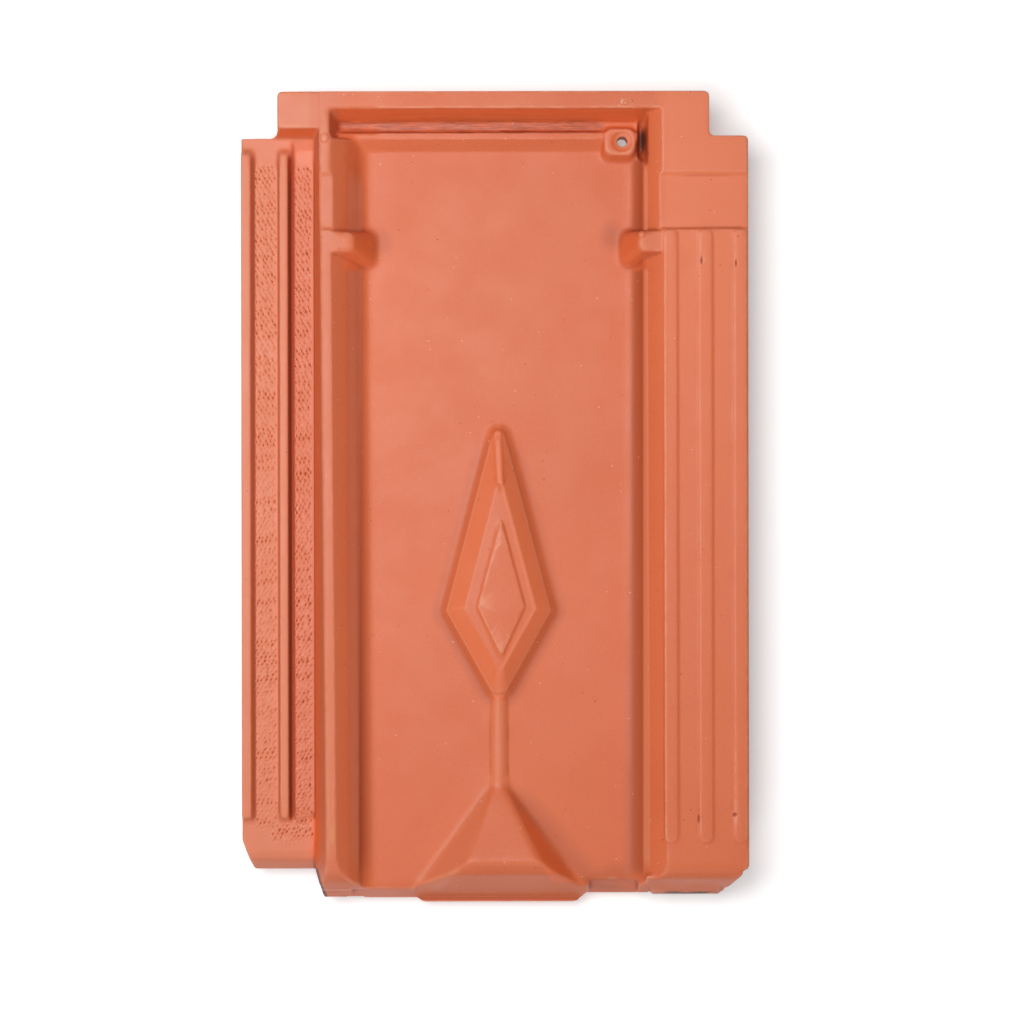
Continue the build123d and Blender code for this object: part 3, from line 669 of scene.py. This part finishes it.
# Painted shade: each strip and spot below darkens the clay where shade falls.
for shade, colour in (
    (times(left_foot, between(-0.204, -0.180, 0.166, 0.180), clear_of_nibs, drift(0.72, 0.22)), SHADE_CLAY),
    (times(right_foot, between(-0.200, -0.190, 0.178, 0.188), clear_of_nibs, 0.72), SHADE_CLAY),
    (times(strip(-0.1073, -0.1063, -0.1052, -0.1044), rib_stretch), DARK_AND_SHADE_CLAY),
    (
        times(strip(-0.1046, -0.1038, -0.0960, -0.0942), between(-0.172, -0.160, 0.166, 0.176), 0.16),
        SHADE_CLAY,
    ),
    (
        times(strip(-0.1067, -0.1061, -0.1054, -0.1048), between(-0.166, -0.160, 0.160, 0.172), 0.5),
        DARKEST_CLAY,
    ),
    (times(strip(-0.1268, -0.1258, -0.1242, -0.1232), rib_stretch, 0.5), DARK_AND_SHADE_CLAY),
    (times(head_floor, streaks, 0.90), SHADE_CLAY),
    (times(head_line, span(patchy, 0.35, 0.60, 0.45, 0.95)), DARK_AND_SHADE_CLAY),
    (times(boss_pit, 0.50), DARK_AND_SHADE_CLAY),
    (span(deep_pit, 1.0, 0.25, 0.0, 0.92), DARKEST_CLAY),
    (ground, SHADE_CLAY),
    (times(beside, between(-0.206, -0.200, -0.160, -0.145), 0.42), SHADE_CLAY),
    (span(left_nib_foot, 1.0, 0.2, 0.0, 0.35), SHADE_CLAY),
    (span(right_nib_foot, 1.0, 0.2, 0.0, 0.45), SHADE_CLAY),
    (span(tail_recess, 1.0, 0.2, 0.0, 0.30), SHADE_CLAY),
    (span(tail_corner, 1.0, 0.2, 0.0, 0.35), SHADE_CLAY),
    (times(lip_line, 0.6), DARK_AND_SHADE_CLAY),
):
    tone = blend(shade, tone, colour)

# Painted highlight, partly rubbed wear, on the diamond's rim.
rim = span(sums("ABSOLUTE", outside), 0.0009, 0.0002)
tone = blend(times(rim, between(-0.106, -0.100, 0.025, 0.036), 0.55), tone, PALE_AND_HIGHLIGHT_CLAY)
# Painted highlight on the flange's shoulder.
shoulder = strip(
    drift(0.0764, 0.0770), drift(0.0774, 0.0778), drift(0.0796, 0.0788), drift(0.0808, 0.0796)
)
shoulder = times(shoulder, between(-0.195, -0.185, 0.168, 0.176), clear_of_nibs)
tone = blend(times(shoulder, 0.60), tone, PALE_AND_HIGHLIGHT_CLAY)
# Painted sheen: the left ledge is painted paler and greyer in patches.
ledge = strip(
    drift(-0.0755, -0.0765), drift(-0.0735, -0.0745), drift(-0.0715, -0.0695), drift(-0.0700, -0.0675)
)
ledge = times(ledge, clear_of_nibs, between(-0.195, -0.180, 0.160, 0.172))
tone = blend(times(ledge, span(patchy, 0.30, 0.70, 0.60, 0.80)), tone, PALE_GREY_AND_SHEEN_CLAY)

# Specks and stains: the nicks are dark inside, the head has a limy scuff, and the clay has lime
# grit and pinholes all over. The main rib has a yellow stain, kiln smoke has blackened the edge
# under the flange, and the side of the rib's tail end is darker in streaks.
LIME = (0.800, 0.560, 0.4200, 1)
PINHOLE = (0.200, 0.035, 0.0140, 1)
SOOT = (0.030, 0.022, 0.0160, 1)
LEMON_STAIN = (0.640, 0.240, 0.0700, 1)
FLANGE_TOP, NICK_SPREAD, NICK_HEIGHT = 0.038, 1.2, 0.006


def flecks(scale, reach, share):
    """Small round flecks, one in some of the cells."""
    cells = tree.nodes.new("ShaderNodeTexVoronoi")
    feed(cells.inputs["Vector"], place)
    feed(cells.inputs["Scale"], scale)
    chances = tree.nodes.new("ShaderNodeSeparateColor")
    feed(chances.inputs[0], cells.outputs["Color"])
    size = times(chances.outputs[1], reach)
    mark = span(sums("DIVIDE", cells.outputs["Distance"], size), 1.0, 0.55)
    return times(mark, sums("LESS_THAN", chances.outputs[0], share))


for place_x, place_y, half_width, half_length, depth in FLANGE_NICKS:
    sizes = (NICK_SPREAD * half_width, NICK_SPREAD * half_length, NICK_HEIGHT)
    nick = spot((place_x, place_y, FLANGE_TOP), sizes)
    tone = blend(span(nick, 1.0, 0.4, 0.0, 0.75), tone, DARK_AND_SHADE_CLAY)
scuff = span(spot((0.0670, 0.2038, 0.0392), (0.0055, 0.0030, 0.0060)), 1.0, 0.3)
scuff = times(scuff, span(grain(900.0, 2.0, 0.6), 0.54, 0.64, 0.0, 0.7))
tone = blend(scuff, tone, LIME)

tone = blend(times(flecks(230.0, 0.100, 0.5), 0.7), tone, LIME)
holes = flecks(200.0, 0.090, 0.5)
tone = blend(times(holes, 0.8), tone, PINHOLE)

stain = span(spot((-0.0835, -0.1730, 0.0385), (0.0022, 0.0070, 0.0060)), 1.0, 0.3)
tone = blend(times(stain, 0.55), tone, LEMON_STAIN)
soot = times(
    strip(0.079, 0.092, 0.113, 0.119),
    span(length_along, -0.2015, -0.2035),
    span(height, 0.0228, 0.0200),
    span(grain(260.0, 3.0, 0.6, (0.5, 1, 1)), 0.36, 0.56, 0.15, 1.0),
)
tone = blend(times(soot, 0.92), tone, SOOT)
rib_corner = off_line((-0.0880, -0.2080), (-0.0930, -0.1905))
rib_end_dark = times(
    span(rib_corner, 0.0016, 0.0006),
    span(rib_corner, -0.0022, -0.0008),
    between(-0.2090, -0.2075, -0.1925, -0.1900),
    span(grain(220.0, 3.0, 0.6), 0.25, 0.50, 0.5, 1.0),
)
tone = blend(times(rib_end_dark, 0.85), tone, DARKEST_CLAY)
feed(shader.inputs["Base Color"], tone)

# The clay's surface: the press leaves a faint sheen, duller where the corners get painted shade. The
# skin is fine and gritty, coarser on the pricked floors, and sinks in at the pinholes.
SHEEN_LEVEL = 0.38
CREASE_DULLNESS = 0.12
GRIT_SHARE, SKIN_SHARE, FLOOR_SHARE, HOLE_SHARE = 0.30, 0.55, 2.2, 0.9
RELIEF_STRENGTH, RELIEF_DEPTH = 0.35, 0.00022

dullness = span(grain(38.0, 3.0, 0.55), 0.3, 0.7, 0.42, 0.50)
feed(shader.inputs["Roughness"], sums("ADD", dullness, times(crease_shade, CREASE_DULLNESS)))
feed(shader.inputs["Specular IOR Level"], SHEEN_LEVEL)

outer_groove = strip(-0.1238, -0.1230, -0.1130, -0.1124)
inner_groove = strip(-0.1042, -0.1036, -0.0946, -0.0942)
pricked_floor = times(
    sums("MAXIMUM", outer_groove, inner_groove), between(-0.176, -0.168, 0.168, 0.174)
)
relief = times(grain(1500.0, 2.0, 0.6), GRIT_SHARE)
relief = sums("ADD", relief, times(grain(420.0, 3.0, 0.55), SKIN_SHARE))
torn = times(grain(520.0, 3.0, 0.6, (1.3, 0.8, 1)), pricked_floor, FLOOR_SHARE)
relief = sums("SUBTRACT", sums("ADD", relief, torn), times(holes, HOLE_SHARE))
bump = tree.nodes.new("ShaderNodeBump")
feed(bump.inputs["Strength"], RELIEF_STRENGTH)
feed(bump.inputs["Distance"], RELIEF_DEPTH)
feed(bump.inputs["Height"], relief)
feed(shader.inputs["Normal"], bump.outputs["Normal"])

tile.data.materials.clear()
tile.data.materials.append(clay)
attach(tile, "root")
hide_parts("roof_tile")

# The floor: a plain white studio table under the tile. The camera, gloss and glass see it white,
# and the tile's own soft shadow stays on it.
FLOOR_SIZE = 6
FLOOR_WHITE = (0.92, 0.92, 0.92, 1)
FLOOR_DULLNESS = 0.9
FLOOR_LIFT = 0.36

bpy.ops.mesh.primitive_plane_add(size=FLOOR_SIZE, location=(0, 0, 0))
floor = bpy.context.object
floor.name = "studio_floor"
paper = bpy.data.materials.new("white_paper")
paper.use_nodes = True
tree = paper.node_tree
sheet = tree.nodes["Principled BSDF"]
feed(sheet.inputs["Base Color"], FLOOR_WHITE)
feed(sheet.inputs["Roughness"], FLOOR_DULLNESS)
feed(sheet.inputs["Emission Color"], (1, 1, 1, 1))
seen = tree.nodes.new("ShaderNodeLightPath").outputs
ray = sums("MAXIMUM", seen["Is Camera Ray"], seen["Is Glossy Ray"])
ray = sums("MAXIMUM", ray, seen["Is Transmission Ray"])
feed(sheet.inputs["Emission Strength"], times(ray, FLOOR_LIFT))
floor.data.materials.append(paper)

# Light: one wide soft box hung close over the tile, a little to its left, and a weak one low in
# front of its tail, in a dim pale room. A box gives its place, its width, its power and its tilt.
ROOM_LIGHT = 0.14
SOFT_BOXES = (
    ("top_box", (-0.25, 0.15, 1.0), 0.65, 9.8, 0),
    ("front_box", (-0.1, -1.0, 0.75), 0.60, 3.0, 53),
)

room = bpy.data.worlds.new("room")
scene.world = room
room.use_nodes = True
walls = room.node_tree.nodes["Background"]
walls.inputs["Color"].default_value = (1, 1, 1, 1)
walls.inputs["Strength"].default_value = ROOM_LIGHT
for name, box_place, width, power, tilt in SOFT_BOXES:
    lamp = bpy.data.lights.new(name, "AREA")
    lamp.shape = "SQUARE"
    lamp.size = width
    lamp.energy = power
    soft_box = bpy.data.objects.new(name, lamp)
    soft_box.location = box_place
    soft_box.rotation_euler = (math.radians(tilt), 0, 0)
    soft_box.visible_camera = False
    scene.collection.objects.link(soft_box)

# Camera: straight above the tile with a long lens. The frame's middle lies a little to the lower
# right of the tile's.
CAMERA_PLACE = (0.0091, -0.00675)
CAMERA_HEIGHT = 2.0
CAMERA_TURN = math.radians(-0.1)
FRAME_PIXELS, PIXEL_WIDTH = 1024, 0.0005147
TOP_LEVEL = 0.0392
SENSOR_WIDTH = 36

camera = bpy.data.cameras.new("camera")
camera.sensor_width = SENSOR_WIDTH
camera.lens = SENSOR_WIDTH * CAMERA_HEIGHT / (FRAME_PIXELS * PIXEL_WIDTH)
shot = bpy.data.objects.new("camera", camera)
shot.location = (*CAMERA_PLACE, TOP_LEVEL + CAMERA_HEIGHT)
shot.rotation_euler = (0, 0, CAMERA_TURN)
scene.collection.objects.link(shot)
scene.camera = shot
